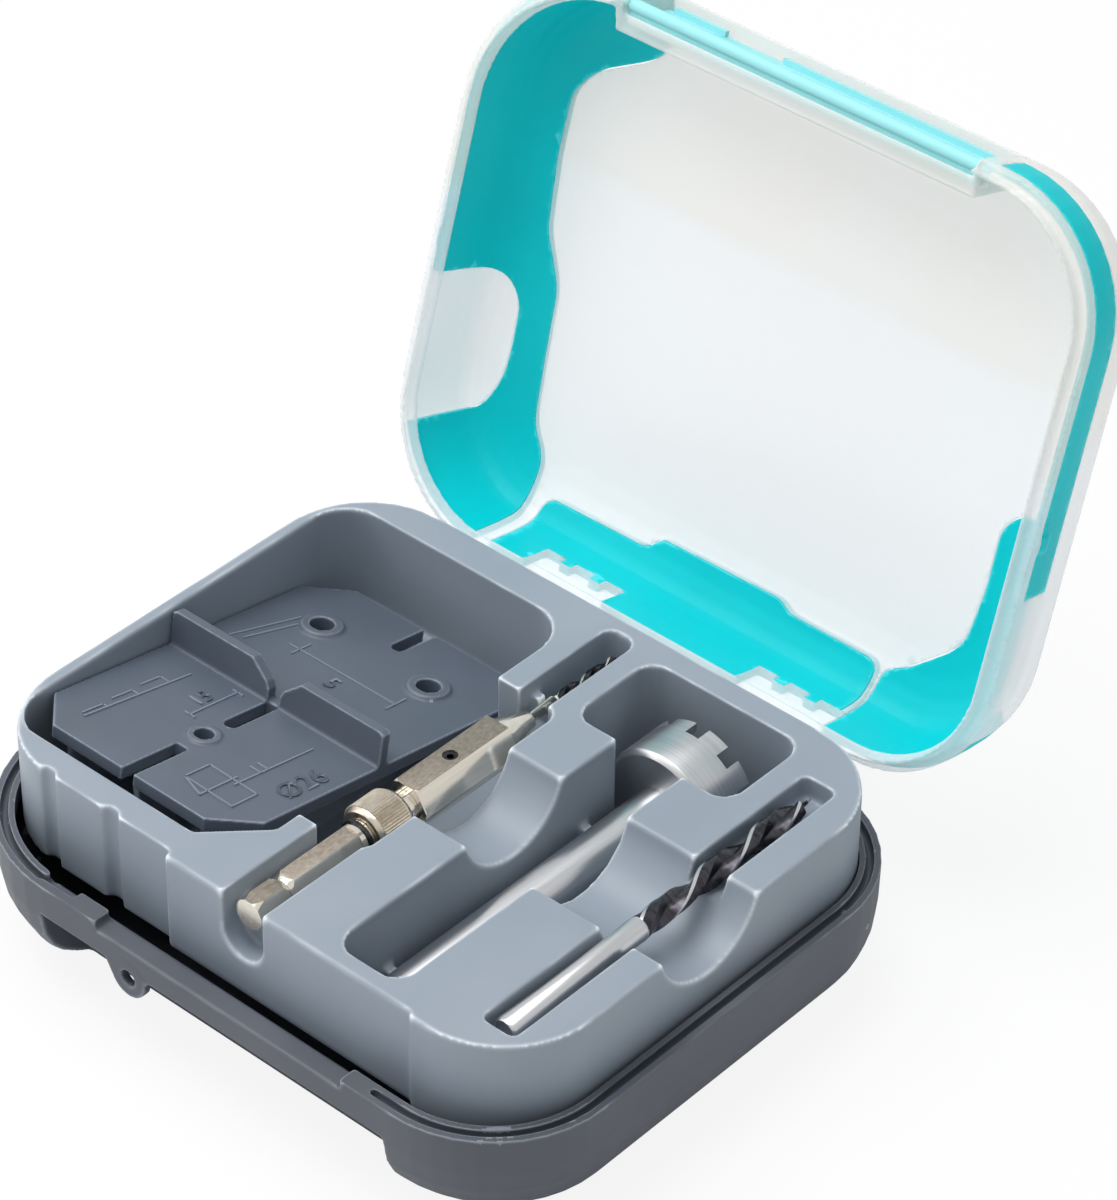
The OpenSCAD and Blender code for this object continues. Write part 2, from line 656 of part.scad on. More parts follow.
// ---- bit holder, axis along Y ----
module holder_shank() color("#d9d2c6") {
  difference() {
    union() {
      intersection() {
        hex_y(bit_x, bit_y0, bit_y0 + 28, bit_z, hex_af);
        rod_y(bit_x, bit_y0, bit_y0 + 28, bit_z, hex_af + 0.2, hex_af + 10);
      }
      rod_y(bit_x, bit_y0 + 27, bit_y0 + 45.8, bit_z, 7);
    }
    // ring groove for the chuck
    difference() {
      rod_y(bit_x, bit_y0 + 7.2, bit_y0 + 10, bit_z, 9);
      rod_y(bit_x, bit_y0 + 7.2, bit_y0 + 8.6, bit_z, hex_af + 0.9, 5.6);
      rod_y(bit_x, bit_y0 + 8.6, bit_y0 + 10, bit_z, 5.6, hex_af + 0.9);
    }
    // groove for the retaining ring and the seat of the ball
    difference() {
      rod_y(bit_x, bit_y0 + 28.4, bit_y0 + 29.2, bit_z, 9);
      rod_y(bit_x, bit_y0 + 28, bit_y0 + 29.6, bit_z, 6);
    }
    translate([bit_x, bit_y0 + 36, bit_z + 2.45]) sphere(d = 2 + 2*fit);
  }
}
module detent_ball() color("#c8ccd0") translate([bit_x, bit_y0 + 36, bit_z + 2.45]) sphere(d = 2);
module retaining_ring() color("#8d9298") difference() {
  rod_y(bit_x, bit_y0 + 28.45, bit_y0 + 29.15, bit_z, 7.9);
  rod_y(bit_x, bit_y0 + 28, bit_y0 + 29.6, bit_z, 6.1);
}
module release_collar() color("#d5cdc0") difference() {
  union() {
    rod_y(bit_x, bit_y0 + 30, bit_y0 + 31, bit_z, collar_d - 1.4, collar_d);
    rod_y(bit_x, bit_y0 + 31, bit_y0 + 30 + collar_l - 1, bit_z, collar_d);
    rod_y(bit_x, bit_y0 + 30 + collar_l - 1, bit_y0 + 30 + collar_l, bit_z, collar_d, collar_d - 1.4);
  }
  rod_y(bit_x, bit_y0 + 29, bit_y0 + 60, bit_z, 7 + 2*fit);
  // room for the ball
  difference() {
    rod_y(bit_x, bit_y0 + 34, bit_y0 + 60, bit_z, 7.9);
    rod_y(bit_x, bit_y0 + 29, bit_y0 + 34.2, bit_z, 9);
  }
}
module guide_body() color("#e2dccf") difference() {
  y0 = bit_y0 + 39.3 + collar_travel;
  union() {
    intersection() {
      hex_y(bit_x, y0, bit_y0 + 67.4, bit_z, body_af);
      rod_y(bit_x, y0, bit_y0 + 67.4, bit_z, body_af + 0.8, body_af + 30);
    }
    rod_y(bit_x, bit_y0 + 67.4, bit_y0 + 76, bit_z, body_af - 0.4, pilot_d + 1.4);
  }
  rod_y(bit_x, bit_y0 + 30, bit_y0 + 46, bit_z, 7 + 2*fit);
  rod_y(bit_x, bit_y0 + 45, bit_y0 + 80, bit_z, pilot_d + 2*fit);
  translate([bit_x, bit_y0 + 54, bit_z + 0.2]) cylinder(h = 9, d = 3 + 2*fit);
}
module pilot_drill() color("#cfd3d6") {
  rod_y(bit_x, bit_y0 + 48, bit_y0 + 101, bit_z, pilot_d);
  rod_y(bit_x, bit_y0 + 101, bit_y0 + 102, bit_z, pilot_d, 0.3);
}
module grub_screw() color("#8d9298") difference() {
  translate([bit_x, bit_y0 + 54, bit_z + pilot_d/2 + 0.15]) cylinder(h = 3, d = 3);
  translate([bit_x, bit_y0 + 54, bit_z + pilot_d/2 + 1.6]) cylinder(h = 3, d = 1.6, $fn = 6);
}

// ---- cutter, axis along Y ----
module cutter_shank() color("#d3d6d9") {
  rod_y(cut_x, cut_y0, cut_y0 + 1, cut_z, shank_d - 1.6, shank_d);
  rod_y(cut_x, cut_y0 + 1, head_y0 + 2.95, cut_z, shank_d);
}
module cutter_head() color("#c6cacd") difference() {
  union() {
    rod_y(cut_x, head_y0 + 1, head_y0 + cutter_l, cut_z, cutter_d);
    rod_y(cut_x, head_y0, head_y0 + 1, cut_z, cutter_d - 2, cutter_d);
  }
  rod_y(cut_x, head_y0 + 4, head_y0 + cutter_l + 1, cut_z, cutter_d - 4);
  rod_y(cut_x, head_y0 - 1, head_y0 + 3, cut_z, shank_d + 2*fit);
  rod_y(cut_x, head_y0, head_y0 + 6, cut_z, 3 + 2*fit);
  // gullets between the rim teeth
  for (a = [0:36:324]) translate([cut_x, 0, cut_z]) rotate([0, a, 0])
    box(-1.6, 1.6, head_y0 + cutter_l - 3.4, head_y0 + cutter_l + 1, 8, 15);
}
module center_point() color("#c6cacd") {
  rod_y(cut_x, head_y0 + 3.05, head_y0 + cutter_l + 0.4, cut_z, 3);
  rod_y(cut_x, head_y0 + cutter_l + 0.4, head_y0 + cutter_l + 4, cut_z, 3, 0.4);
}

// ---- wood drill, axis along Y ----
module wood_drill() color("#b9bdc1") rod_y(drill_x, drill_y0, drill_y0 + drill_l, drill_z, drill_d);

base_shell();
tray_insert();
hinge_pin_left();
hinge_pin_right();
lid_shell();
lid_panel_left();
lid_corner_left();
lid_panel_rear();
lid_corner_right();
lid_panel_right();
latch_flap();
latch_pin_left();
latch_pin_right();
template_plate();
holder_shank();
detent_ball();
retaining_ring();
guide_body();
pilot_drill();
grub_screw();
release_collar();
cutter_shank();
cutter_head();
center_point();
wood_drill();
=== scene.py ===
import json
import math

import bmesh
import bpy
from mathutils import Matrix, Vector

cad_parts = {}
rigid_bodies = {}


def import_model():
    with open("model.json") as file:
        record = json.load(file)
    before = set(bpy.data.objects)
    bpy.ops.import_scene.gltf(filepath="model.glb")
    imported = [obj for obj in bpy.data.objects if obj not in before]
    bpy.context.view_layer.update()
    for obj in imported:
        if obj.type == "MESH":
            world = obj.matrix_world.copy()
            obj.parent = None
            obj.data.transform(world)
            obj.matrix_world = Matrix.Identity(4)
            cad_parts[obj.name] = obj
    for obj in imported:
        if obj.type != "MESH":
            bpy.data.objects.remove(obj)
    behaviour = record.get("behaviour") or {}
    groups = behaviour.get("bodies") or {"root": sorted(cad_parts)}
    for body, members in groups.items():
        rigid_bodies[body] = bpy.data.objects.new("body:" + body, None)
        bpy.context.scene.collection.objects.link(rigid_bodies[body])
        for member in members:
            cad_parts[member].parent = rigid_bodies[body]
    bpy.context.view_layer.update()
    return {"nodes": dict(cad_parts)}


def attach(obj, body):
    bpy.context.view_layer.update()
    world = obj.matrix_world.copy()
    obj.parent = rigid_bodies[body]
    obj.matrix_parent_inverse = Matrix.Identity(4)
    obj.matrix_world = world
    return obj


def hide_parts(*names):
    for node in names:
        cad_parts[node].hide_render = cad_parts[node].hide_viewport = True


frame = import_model()
mm = 0.001


# ---- camera, floor and light ----
cameraSet = {
    "place": (0.4765, -0.5039, 0.6259),
    "turn": 41.38,  # degrees round the case, from the front towards the right
    "height": 38.08,  # degrees above the horizon
    "roll": 0.70,
    "lens": 144.15,
    "sensor": 36,
    "clip": (0.01, 20),
}
lightSet = {
    "skyHigh": 0.47,
    "skyLow": 0.3,
    "skyBand": (-0.1, 0.6),  # between these heights the sky grows brighter
    "skyTint": (0.96, 0.98, 1.0),
    "floor": (0.9, 0.9, 0.9),
    "floorReach": 3.0,
    "floorDrop": 0.0002,  # keeps the floor clear of the case's feet
    "floorGlow": 0.88,  # share of pure white that the camera sees in the floor
    "aim": (0, 0, 0.03),
    "lamps": {
        "topLamp": {"place": (-0.25, -0.15, 1.1), "size": (0.9, 0.9), "power": 10.5},
        "sideLamp": {"place": (-1.0, -0.7, 0.6), "size": (0.8, 0.8), "power": 3.0},
    },
}


def makeCamera(s):
    a, e, r = (math.radians(s[k]) for k in ("turn", "height", "roll"))
    back = Vector((math.sin(a) * math.cos(e), -math.cos(a) * math.cos(e), math.sin(e)))
    right = Vector((math.cos(a), math.sin(a), 0))
    down = -back.cross(right)
    sideways = right * math.cos(r) - down * math.sin(r)
    down = right * math.sin(r) + down * math.cos(r)
    data = bpy.data.cameras.new("camera")
    data.sensor_width = s["sensor"]
    data.lens = s["lens"]
    data.clip_start, data.clip_end = s["clip"]
    cam = bpy.data.objects.new("camera", data)
    axes = Matrix((sideways, -down, back)).transposed().to_4x4()
    cam.matrix_world = Matrix.Translation(s["place"]) @ axes
    bpy.context.scene.collection.objects.link(cam)
    bpy.context.scene.camera = cam


def newMaterial(name):
    mat = bpy.data.materials.new(name)
    mat.use_nodes = True
    tree = mat.node_tree
    tree.nodes.clear()
    out = tree.nodes.new("ShaderNodeOutputMaterial")
    return mat, tree, out


def seenRay(tree):
    # one for what the camera sees itself or through the clear lid
    path = tree.nodes.new("ShaderNodeLightPath")
    seen = tree.nodes.new("ShaderNodeMath")
    seen.operation = "MAXIMUM"
    tree.links.new(path.outputs["Is Camera Ray"], seen.inputs[0])
    tree.links.new(path.outputs["Is Transmission Ray"], seen.inputs[1])
    return path, seen


def makeFloor(s):
    mesh = bpy.data.meshes.new("floor")
    r = s["floorReach"]
    mesh.from_pydata([(-r, -r, 0), (r, -r, 0), (r, r, 0), (-r, r, 0)], [], [(0, 1, 2, 3)])
    floor = bpy.data.objects.new("floor", mesh)
    floor.location.z = -s["floorDrop"]
    bpy.context.scene.collection.objects.link(floor)
    mat, tree, out = newMaterial("paleFloor")
    paper = tree.nodes.new("ShaderNodeBsdfDiffuse")
    paper.inputs["Color"].default_value = (*s["floor"], 1)
    white = tree.nodes.new("ShaderNodeEmission")
    seen = seenRay(tree)[1]
    share = tree.nodes.new("ShaderNodeMath")
    share.operation = "MULTIPLY"
    share.inputs[1].default_value = s["floorGlow"]
    tree.links.new(seen.outputs[0], share.inputs[0])
    mix = tree.nodes.new("ShaderNodeMixShader")
    tree.links.new(share.outputs[0], mix.inputs[0])
    tree.links.new(paper.outputs[0], mix.inputs[1])
    tree.links.new(white.outputs[0], mix.inputs[2])
    tree.links.new(mix.outputs[0], out.inputs["Surface"])
    mesh.materials.append(mat)


def makeLight(s):
    world = bpy.data.worlds.new("studio")
    bpy.context.scene.world = world
    world.use_nodes = True
    tree = world.node_tree
    tree.nodes.clear()
    out = tree.nodes.new("ShaderNodeOutputWorld")
    coord = tree.nodes.new("ShaderNodeTexCoord")
    split = tree.nodes.new("ShaderNodeSeparateXYZ")
    tree.links.new(coord.outputs["Generated"], split.inputs[0])
    rise = tree.nodes.new("ShaderNodeMapRange")
    rise.inputs["From Min"].default_value = s["skyBand"][0]
    rise.inputs["From Max"].default_value = s["skyBand"][1]
    rise.inputs["To Min"].default_value = s["skyLow"]
    rise.inputs["To Max"].default_value = s["skyHigh"]
    tree.links.new(split.outputs["Z"], rise.inputs["Value"])
    fill = tree.nodes.new("ShaderNodeBackground")
    fill.inputs["Color"].default_value = (*s["skyTint"], 1)
    tree.links.new(rise.outputs["Result"], fill.inputs["Strength"])
    white = tree.nodes.new("ShaderNodeBackground")
    path, seen = seenRay(tree)
    bright = tree.nodes.new("ShaderNodeMath")
    bright.operation = "MAXIMUM"
    tree.links.new(seen.outputs[0], bright.inputs[0])
    tree.links.new(path.outputs["Is Glossy Ray"], bright.inputs[1])
    mix = tree.nodes.new("ShaderNodeMixShader")
    tree.links.new(bright.outputs[0], mix.inputs[0])
    tree.links.new(fill.outputs[0], mix.inputs[1])
    tree.links.new(white.outputs[0], mix.inputs[2])
    tree.links.new(mix.outputs[0], out.inputs["Surface"])
    for name, one in s["lamps"].items():
        data = bpy.data.lights.new(name, "AREA")
        data.shape = "RECTANGLE"
        data.size, data.size_y = one["size"]
        data.energy = one["power"]
        lamp = bpy.data.objects.new(name, data)
        lamp.location = one["place"]
        way = Vector(s["aim"]) - Vector(one["place"])
        lamp.rotation_euler = way.to_track_quat("-Z", "Y").to_euler()
        bpy.context.scene.collection.objects.link(lamp)


makeCamera(cameraSet)
makeFloor(lightSet)
makeLight(lightSet)
bpy.context.scene.view_settings.view_transform = "Standard"
print("camera, floor and light set")


# ---- finishes ----
grainSet = {
    "grainDetail": 3,
    "cloudDetail": 4,
    "edge": (0.505, 0.545),  # pointiness at which the painted highlight on an outer edge starts and is full
}
plasticSet = {
    "tones": (0.3, 0.7),
    "spread": 0.12,  # share by which the roughness varies
    "depth": 0.0002,
}
metalToneSet = {
    "tones": (0.25, 0.75),
    "detail": 4,
    "spread": 0.2,
    "depth": 0.00005,
}
veilSet = {
    "warmBand": (0.097, 0.101),  # heights, in metres, where the lid's sheet turns warmer
    "warmTone": 0.5,
    "grain": 900,
    "cloud": 25,
    "facing": 0.3,
}


def rgb(code):
    parts = [int(code[i : i + 2], 16) / 255 for i in (1, 3, 5)]
    return [p / 12.92 if p < 0.04045 else ((p + 0.055) / 1.055) ** 2.4 for p in parts]


def grainGroup():
    # fine mould grain for the bump, a slow change of tone, and a mask of the outer edges for a
    # painted highlight
    group = bpy.data.node_groups.new("grainAndHighlightMask", "ShaderNodeTree")
    face = group.interface
    for name, value in (("Grain", 2500.0), ("Cloud", 60.0)):
        face.new_socket(name, in_out="INPUT", socket_type="NodeSocketFloat").default_value = value
    for name in ("Height", "Tone", "EdgeHighlight"):
        face.new_socket(name, in_out="OUTPUT", socket_type="NodeSocketFloat")
    inside = group.nodes.new("NodeGroupInput")
    outside = group.nodes.new("NodeGroupOutput")
    coord = group.nodes.new("ShaderNodeTexCoord")
    for source, target, detail in (
        ("Grain", "Height", grainSet["grainDetail"]),
        ("Cloud", "Tone", grainSet["cloudDetail"]),
    ):
        noise = group.nodes.new("ShaderNodeTexNoise")
        noise.inputs["Detail"].default_value = detail
        group.links.new(coord.outputs["Object"], noise.inputs["Vector"])
        group.links.new(inside.outputs[source], noise.inputs["Scale"])
        group.links.new(noise.outputs["Fac"], outside.inputs[target])
    shape = group.nodes.new("ShaderNodeNewGeometry")
    sharp = group.nodes.new("ShaderNodeMapRange")
    sharp.inputs["From Min"].default_value = grainSet["edge"][0]
    sharp.inputs["From Max"].default_value = grainSet["edge"][1]
    group.links.new(shape.outputs["Pointiness"], sharp.inputs["Value"])
    group.links.new(sharp.outputs[0], outside.inputs["EdgeHighlight"])
    return group


grainAndHighlightMask = grainGroup()


def grained(tree, grain, cloud):
    effect = tree.nodes.new("ShaderNodeGroup")
    effect.node_tree = grainAndHighlightMask
    effect.inputs["Grain"].default_value = grain
    effect.inputs["Cloud"].default_value = cloud
    return effect


def ramp(tree, source, stops):
    node = tree.nodes.new("ShaderNodeValToRGB")
    for k, (place, colour) in enumerate(stops):
        stop = node.color_ramp.elements[k] if k < 2 else node.color_ramp.elements.new(place)
        stop.position, stop.color = place, (*colour, 1)
    tree.links.new(source, node.inputs[0])
    return node


def plastic(name, dark, light, edge, roughness, grain, cloud, bump, paintedGlow=0.0, shine=0.5):
    mat, tree, out = newMaterial(name)
    shader = tree.nodes.new("ShaderNodeBsdfPrincipled")
    tree.links.new(shader.outputs[0], out.inputs["Surface"])
    effect = grained(tree, grain, cloud)
    low, high = plasticSet["tones"]
    tone = ramp(tree, effect.outputs["Tone"], ((low, rgb(dark)), (high, rgb(light))))
    # painted highlight: outer edges lightened towards the edge colour
    rim = ramp(tree, effect.outputs["EdgeHighlight"], ((0.0, rgb(light)), (1.0, rgb(edge))))
    blend = tree.nodes.new("ShaderNodeMix")
    blend.data_type = "RGBA"
    tree.links.new(effect.outputs["EdgeHighlight"], blend.inputs["Factor"])
    tree.links.new(tone.outputs[0], blend.inputs[6])
    tree.links.new(rim.outputs[0], blend.inputs[7])
    tree.links.new(blend.outputs[2], shader.inputs["Base Color"])
    dull = tree.nodes.new("ShaderNodeMapRange")
    dull.inputs["To Min"].default_value = roughness * (1 - plasticSet["spread"])
    dull.inputs["To Max"].default_value = roughness * (1 + plasticSet["spread"])
    tree.links.new(effect.outputs["Tone"], dull.inputs["Value"])
    tree.links.new(dull.outputs[0], shader.inputs["Roughness"])
    relief = tree.nodes.new("ShaderNodeBump")
    relief.inputs["Strength"].default_value = bump
    relief.inputs["Distance"].default_value = plasticSet["depth"]
    tree.links.new(effect.outputs["Height"], relief.inputs["Height"])
    tree.links.new(relief.outputs[0], shader.inputs["Normal"])
    shader.inputs["Specular IOR Level"].default_value = shine
    if paintedGlow:
        # painted glow: the plastic's colour is emitted, standing in for light that spreads inside
        # it
        tree.links.new(blend.outputs[2], shader.inputs["Emission Color"])
        shader.inputs["Emission Strength"].default_value = paintedGlow
    return mat


def metal(name, colour, dark, roughness, streaks, bump):
    # streaks is how fine the lines are along each axis
    mat, tree, out = newMaterial(name)
    shader = tree.nodes.new("ShaderNodeBsdfPrincipled")
    tree.links.new(shader.outputs[0], out.inputs["Surface"])
    shader.inputs["Metallic"].default_value = 1.0
    coord = tree.nodes.new("ShaderNodeTexCoord")
    place = tree.nodes.new("ShaderNodeMapping")
    place.inputs["Scale"].default_value = streaks
    tree.links.new(coord.outputs["Object"], place.inputs["Vector"])
    noise = tree.nodes.new("ShaderNodeTexNoise")
    noise.inputs["Scale"].default_value = 1.0
    noise.inputs["Detail"].default_value = metalToneSet["detail"]
    tree.links.new(place.outputs[0], noise.inputs["Vector"])
    low, high = metalToneSet["tones"]
    tone = ramp(tree, noise.outputs["Fac"], ((low, rgb(dark)), (high, rgb(colour))))
    tree.links.new(tone.outputs[0], shader.inputs["Base Color"])
    dull = tree.nodes.new("ShaderNodeMapRange")
    dull.inputs["To Min"].default_value = roughness * (1 - metalToneSet["spread"])
    dull.inputs["To Max"].default_value = roughness * (1 + metalToneSet["spread"])
    tree.links.new(noise.outputs["Fac"], dull.inputs["Value"])
    tree.links.new(dull.outputs[0], shader.inputs["Roughness"])
    relief = tree.nodes.new("ShaderNodeBump")
    relief.inputs["Strength"].default_value = bump
    relief.inputs["Distance"].default_value = metalToneSet["depth"]
    tree.links.new(noise.outputs["Fac"], relief.inputs["Height"])
    tree.links.new(relief.outputs[0], shader.inputs["Normal"])
    return mat


def clearPlastic(name, cool, warm, thin, thick, roughness):
    # a veil, thin face on and dense where the wall is seen edge on, warmer near the top
    mat, tree, out = newMaterial(name)
    shader = tree.nodes.new("ShaderNodeBsdfPrincipled")
    tree.links.new(shader.outputs[0], out.inputs["Surface"])
    coord = tree.nodes.new("ShaderNodeTexCoord")
    split = tree.nodes.new("ShaderNodeSeparateXYZ")
    tree.links.new(coord.outputs["Object"], split.inputs[0])
    high = tree.nodes.new("ShaderNodeMapRange")
    high.inputs["From Min"].default_value = veilSet["warmBand"][0]
    high.inputs["From Max"].default_value = veilSet["warmBand"][1]
    tree.links.new(split.outputs["Z"], high.inputs["Value"])
    effect = grained(tree, veilSet["grain"], veilSet["cloud"])
    cloudy = tree.nodes.new("ShaderNodeMath")
    cloudy.operation = "MULTIPLY"
    tree.links.new(high.outputs[0], cloudy.inputs[0])
    tree.links.new(effect.outputs["Tone"], cloudy.inputs[1])
    tone = ramp(tree, cloudy.outputs[0], ((0.0, rgb(cool)), (veilSet["warmTone"], rgb(warm))))
    tree.links.new(tone.outputs[0], shader.inputs["Base Color"])
    edge = tree.nodes.new("ShaderNodeLayerWeight")
    edge.inputs["Blend"].default_value = veilSet["facing"]
    dense = tree.nodes.new("ShaderNodeMapRange")
    dense.inputs["To Min"].default_value = thin
    dense.inputs["To Max"].default_value = thick
    tree.links.new(edge.outputs["Facing"], dense.inputs["Value"])
    tree.links.new(dense.outputs[0], shader.inputs["Alpha"])
    shader.inputs["Roughness"].default_value = roughness
    return mat


# plastic: dark and light tone, painted edge highlight, roughness, grain, cloud, bump
# metal: colour, dark tone, roughness, streaks, bump
finishes = {
    "baseShell": plastic("slatePlastic", "#4c5059", "#565a63", "#858b95", 0.5, 2600, 45, 0.12),
    "tray": plastic("traySheet", "#8d98a4", "#959faa", "#dfe7ee", 0.4, 1500, 30, 0.03),
    "template": plastic("templatePlastic", "#525b68", "#5b6471", "#8892a0", 0.45, 2200, 40, 0.08),
    # painted shade: the moulded lines and numbers take a darker tone than the plate
    "shadedMark": plastic("templateMarkShade", "#3d4551", "#444c58", "#7a8492", 0.5, 2200, 40, 0.05),
    "teal": plastic(
        "tealPlastic", "#00b9c0", "#00c1c8", "#45d3d9", 0.42, 900, 30, 0.02, paintedGlow=0.17, shine=0.15
    ),
    "latch": plastic(
        "latchPlastic", "#5ec9cf", "#6ad0d6", "#9fe4e8", 0.4, 900, 30, 0.02, shine=0.25
    ),
    "clear": clearPlastic("clearPlastic", "#fbfdff", "#faf8f3", 0.34, 0.72, 0.15),
    "nickel": metal("nickelPlate", "#ece6da", "#ded7ca", 0.16, (900, 60, 900), 0.05),
    # painted shade: a darker nickel for the faces that look up
    "satin": metal("topShadedNickelPlate", "#a59c90", "#857d73", 0.42, (1800, 900, 900), 0.3),
    "knurled": metal("knurledNickel", "#dcd3c4", "#c2b8a8", 0.3, (900, 900, 900), 0.2),
    "steel": metal("groundSteel", "#d6d7d9", "#c6c7ca", 0.3, (1500, 40, 1500), 0.05),
    "cup": metal("brushedSteel", "#d2d3d5", "#bebfc2", 0.34, (60, 2500, 60), 0.06),
    "darkSteel": metal("darkSteel", "#4a4a4e", "#303034", 0.35, (500, 500, 500), 0.05),
    # painted shade: a darker steel for the drills' flutes
    "flute": metal("fluteShadeSteel", "#56545a", "#333237", 0.28, (300, 900, 300), 0.05),
    "pin": metal("pinWire", "#b8babc", "#a2a4a6", 0.3, (80, 1500, 1500), 0.05),
}
print("finishes made")


# ---- helpers for pieces ----
helperSet = {
    "weld": 1e-6,
    "flatAngle": 0.5,  # degrees within which two faces count as one plane
    "smoothing": 0.5,
}


def mergedCopy(node):
    mesh = frame["nodes"][node].data.copy()
    bm = bmesh.new()
    bm.from_mesh(mesh)
    bmesh.ops.remove_doubles(bm, verts=bm.verts, dist=helperSet["weld"])
    bm.to_mesh(mesh)
    bm.free()
    mesh.materials.clear()
    piece = bpy.data.objects.new(node, mesh)
    bpy.context.scene.collection.objects.link(piece)
    return piece


def applied(piece):
    graph = bpy.context.evaluated_depsgraph_get()
    mesh = bpy.data.meshes.new_from_object(piece.evaluated_get(graph))
    piece.modifiers.clear()
    piece.data = mesh
    return piece


def softened(piece, s):
    # edges rounded as a mould rounds them: fine cells, smoothed, then thinned
    cells = piece.modifiers.new("cells", "REMESH")
    cells.mode = "VOXEL"
    cells.voxel_size = s["cell"] * mm
    smooth = piece.modifiers.new("smooth", "SMOOTH")
    smooth.factor, smooth.iterations = helperSet["smoothing"], s["rounds"]
    thin = piece.modifiers.new("thin", "DECIMATE")
    thin.ratio = s["keep"]
    applied(piece)
    shadeSmooth(piece)
    return piece


def flatFaced(piece):
    # triangles of one plane joined to one face
    bm = bmesh.new()
    bm.from_mesh(piece.data)
    angle = math.radians(helperSet["flatAngle"])
    bmesh.ops.dissolve_limit(bm, angle_limit=angle, verts=bm.verts, edges=bm.edges)
    bm.to_mesh(piece.data)
    bm.free()
    return piece


def shadeSmooth(piece):
    piece.data.polygons.foreach_set("use_smooth", [True] * len(piece.data.polygons))


def facedOut(piece, triangles=False):
    bm = bmesh.new()
    bm.from_mesh(piece.data)
    bmesh.ops.recalc_face_normals(bm, faces=bm.faces)
    if triangles:
        bmesh.ops.triangulate(bm, faces=bm.faces)
    bm.to_mesh(piece.data)
    bm.free()
    return piece


def standFor(piece, nodes, body, slotName, *kinds):
    if kinds:
        piece.data.materials.clear()
        for kind in kinds:
            piece.data.materials.append(finishes[kind])
    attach(piece, body)
    if nodes:
        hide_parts(*nodes)


def meshPiece(name, points, faces, smooth=True):
    mesh = bpy.data.meshes.new(name)
    mesh.from_pydata(points, [], faces)
    mesh.update()
    piece = bpy.data.objects.new(name, mesh)
    bpy.context.scene.collection.objects.link(piece)
    if smooth:
        shadeSmooth(piece)
    return piece


def combined(piece, other, how):
    step = piece.modifiers.new("cut", "BOOLEAN")
    step.operation, step.solver, step.object = how, "MANIFOLD", other
    applied(piece)
    bpy.data.objects.remove(other)
    return piece


# ---- base, tray and template, moulded ----
softSet = {
    "base_shell": {
        "cell": 0.45,
        "rounds": 3,
        "keep": 0.28,
        "body": "base",
        "slot": "base_shell",
        "finish": "baseShell",
        "rim": (27.6, 28.12),  # heights pressed down to the lower one, as room for the closed lid
    },
    "tray_insert": {
        "cell": 0.5,
        "rounds": 9,
        "keep": 0.25,
        "body": "base",
        "slot": "tray",
        "finish": "tray",
    },
    "template_plate": {
        "cell": 0.3,
        "rounds": 3,
        "keep": 0.4,
        "body": "template",
        "slot": "template",
        "finish": "template",
    },
}


def pressedRim(piece, low, high):
    for point in piece.data.vertices:
        if low * mm < point.co.z < high * mm:
            point.co.z = low * mm


for node, s in softSet.items():
    piece = softened(mergedCopy(node), s)
    if "rim" in s:
        pressedRim(piece, *s["rim"])
    piece.name = node.split("_")[0] + "Moulded"
    standFor(piece, [node], s["body"], s["slot"], s["finish"])
    print(node, "softened:", len(piece.data.polygons), "faces")


# ---- lid: one moulded body, cut into its clear and teal portions ----
lidSet = {
    "open": 107,
    "hinge": (0, 65, 28),
    "cell": 0.5,
    "rounds": 5,
    "keep": 0.45,
    "seam": 0.14,
    "round": 3.0,
    "share": 0.45,  # most of an edge's length that a round corner may take
    "steps": 5,  # points along a round corner
    # each portion: its outline seen from above on the closed lid, and the heights of its cut
    "tealLeft": {
        "nodes": ["lid_panel_left", "lid_corner_left"],
        "low": 30.4,
        "high": 60,
        "outline": [
            (-90, -80), (-44, -80), (-44, -46), (-47.8, -42.6), (-59.3, -36.4), (-64.2, -30.2),
            (-64.6, -17), (-63.2, 0), (-60.3, 5.8), (-58, 11), (-57.4, 24), (-56.4, 40),
            (-52, 46.5), (-52, 80), (-90, 80), (-90, 44.5), (-76, 44.5), (-68.5, 41.6),
            (-65.8, 34), (-65.3, 27.6), (-65.6, 17), (-68.9, 12), (-76, 10.4), (-90, 10.4),
        ],
    },
    "plates": {
        "comb": 28.1,
        "wide": 10.5,
        "valley": 36.9,
        "pitch": 7.9,
        "tooth": 2.6,
        "top": 39.0,
        "foot": 27,
        "deep": (50, 70),
    },
    "tealRear": {
        "plated": True,
        "nodes": ["lid_panel_rear"],
        "low": 31.5,
        "high": 60,
        "outline": [
            (-47.8, 80), (-47.8, 53), (-21.1, 52.6), (-18.6, 49.5), (12.4, 48.8), (15.6, 50.6),
            (38.2, 50.6), (38.2, 80),
        ],
    },
    "tealRight": {
        "plated": True,
        "nodes": ["lid_corner_right"],
        "low": 31.5,
        "high": 60,
        "outline": [
            (39.8, 80), (39.8, 51.2), (44, 49.2), (52.8, 41.4), (55.3, 37.5), (56.6, 26),
            (56.4, 13.2), (59.7, 8.5), (67, 8), (67, 47.5), (90, 47.5), (90, 80),
        ],
    },
    "tealFront": {
        "nodes": ["lid_panel_right"],
        "low": 30.3,
        "high": 37.8,
        "outline": [
            (63.5, -34), (47.5, -40), (47.5, -80), (90, -80), (90, 15), (63.5, 15),
        ],
    },
}


def toOpen(s):
    place = Matrix.Translation(Vector(s["hinge"]) * mm)
    return place @ Matrix.Rotation(-math.radians(s["open"]), 4, "X") @ place.inverted()


